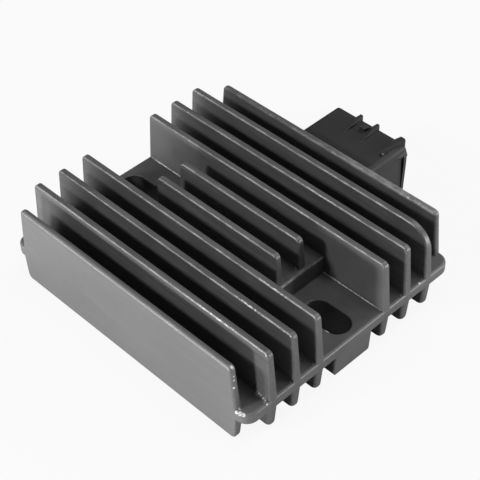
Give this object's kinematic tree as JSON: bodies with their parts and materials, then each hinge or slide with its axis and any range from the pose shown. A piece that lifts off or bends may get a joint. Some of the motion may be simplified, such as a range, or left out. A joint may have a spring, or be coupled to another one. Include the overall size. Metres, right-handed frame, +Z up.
{
  "type": "voltage regulator rectifier",
  "caption": "Finned aluminium regulator rectifier with slotted mounting ears, a potted underside and a plastic plug socket behind.",
  "frame": {"origin": "on the mounting plane, midway between the two mounting slots", "axes": "+X along the fins, +Y towards the connector, +Z up out of the fins"},
  "size_m": [0.1032, 0.108, 0.0305],
  "materials": {
    "casting_coat": "satin dark grey coating on die-cast aluminium",
    "connector_plastic": "satin black moulded plastic",
    "potting": "black cast epoxy, slightly glossy",
    "insulation": "plain",
    "board_metal": "plain",
    "tinned_copper": "bright",
    "board_green": "satin",
    "epoxy_black": "matte",
    "can_metal": "satin",
    "film_yellow": "gloss",
    "ceramic_dark": "matte",
    "terminal_tin": "tin plated brass, satin"
  },
  "bodies": {
    "root": {"heatsink_casting": "casting_coat", "connector_housing": "connector_plastic", "potting_compound": "potting", "insulating_sheet": "insulation", "power_board": "board_metal", "board_pins": "tinned_copper", "control_board": "board_green", "control_chip": "epoxy_black", "capacitor_electrolytic": "can_metal", "capacitor_film": "film_yellow", "zener_diode": "epoxy_black", "thyristor_1": "epoxy_black", "thyristor_2": "epoxy_black", "thyristor_3": "epoxy_black", "diode_1": "epoxy_black", "diode_2": "epoxy_black", "diode_3": "epoxy_black", "resistor_1": "ceramic_dark", "resistor_2": "ceramic_dark", "resistor_3": "ceramic_dark", "terminal_stator_1": "terminal_tin", "terminal_stator_2": "terminal_tin", "terminal_stator_3": "terminal_tin", "terminal_positive": "terminal_tin", "terminal_ground": "terminal_tin"}
  },
  "joints": []
}
